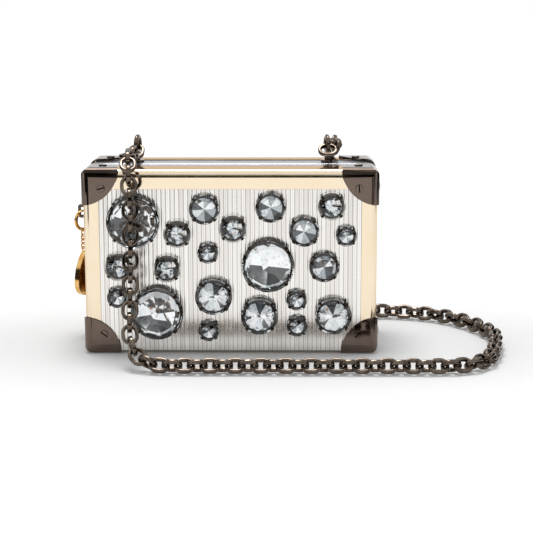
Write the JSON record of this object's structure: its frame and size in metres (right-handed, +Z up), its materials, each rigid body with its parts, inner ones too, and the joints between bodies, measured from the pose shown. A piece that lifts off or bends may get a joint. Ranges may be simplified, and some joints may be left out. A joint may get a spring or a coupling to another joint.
{
  "type": "minaudiere",
  "caption": "Small hard evening case of two hinged halves with corner caps, set crystals on a ribbed panel, a shoulder chain on two eyes and a hanging charm.",
  "frame": {"origin": "middle of the flat underside of the lower right corner cap of the back half, on the surface that the closed case stands on", "axes": "+X to the right of the crystal front, +Y to the back, +Z up"},
  "size_m": [0.2279, 0.1273, 0.1101],
  "materials": {
    "silver": "polished",
    "gold": "polished pale gold",
    "lining": "matt velour",
    "gunmetal": "glossy dark nickel",
    "magnet": "nickel plated",
    "crystal": "cut crystal",
    "charm_gold": "polished",
    "green_stone": "polished cabochon"
  },
  "bodies": {
    "back_half": {"back_tray": "silver", "back_frame": "gold", "back_panel": "silver", "back_lining": "lining", "back_lip": "silver", "back_cap_tl": "gunmetal", "back_cap_tr": "gunmetal", "back_cap_bl": "gunmetal", "back_cap_br": "gunmetal", "back_screws": "gunmetal", "back_magnets": "magnet", "back_hinge_leaf": "gunmetal", "hinge_pin": "gunmetal", "eye_left": "gunmetal", "eye_right": "gunmetal", "eye_nuts": "gunmetal", "side_staple": "gunmetal", "chain_left_top": "gunmetal", "chain_front_drop": "gunmetal", "chain_front_run": "gunmetal", "chain_turn": "gunmetal", "chain_back_run": "gunmetal", "chain_back_rise": "gunmetal", "chain_right_top": "gunmetal"},
    "front_half": {"front_tray": "silver", "front_frame": "gold", "front_panel": "silver", "front_lining": "lining", "front_cap_tl": "gunmetal", "front_cap_tr": "gunmetal", "front_cap_bl": "gunmetal", "front_cap_br": "gunmetal", "front_screws": "gunmetal", "front_keepers": "magnet", "front_hinge_leaf": "gunmetal", "settings_xl": "gunmetal", "settings_l": "gunmetal", "settings_m": "gunmetal", "settings_p": "gunmetal", "settings_s": "gunmetal", "stones_xl": "crystal", "stones_l": "crystal", "stones_m": "crystal", "stones_p": "crystal", "stones_s": "crystal"},
    "charm": {"clasp_ring": "charm_gold", "charm_links": "charm_gold"},
    "trigger": {"clasp_trigger": "charm_gold"},
    "pendant": {"pendant_rim": "charm_gold", "pendant_filigree": "charm_gold", "pendant_back": "charm_gold", "pendant_stone": "green_stone"}
  },
  "joints": [
    {"name": "front_hinge", "type": "hinge", "parent": "back_half", "child": "front_half", "pos_m": [-0.1455, -0.021, 0.0485], "axis": [0, 0, -1], "range_deg": [0, 95], "deforming": ["chain_left_top", "chain_front_drop", "chain_front_run"]},
    {"name": "charm_swing", "type": "hinge", "parent": "back_half", "child": "charm", "pos_m": [-0.1484, -0.008, 0.0685], "axis": [0, 1, 0], "range_deg": [0, 20]},
    {"name": "trigger_slide", "type": "hinge", "parent": "charm", "child": "trigger", "pos_m": [-0.1495, -0.00931, 0.0638], "axis": [0.766, -0.6428, 0], "range_deg": [0, 33], "stiffness_Nm_per_rad": 0.004},
    {"name": "pendant_swing", "type": "hinge", "parent": "charm", "child": "pendant", "pos_m": [-0.1495, -0.00931, 0.04886], "axis": [0, 1, 0], "range_deg": [0, 20]}
  ]
}
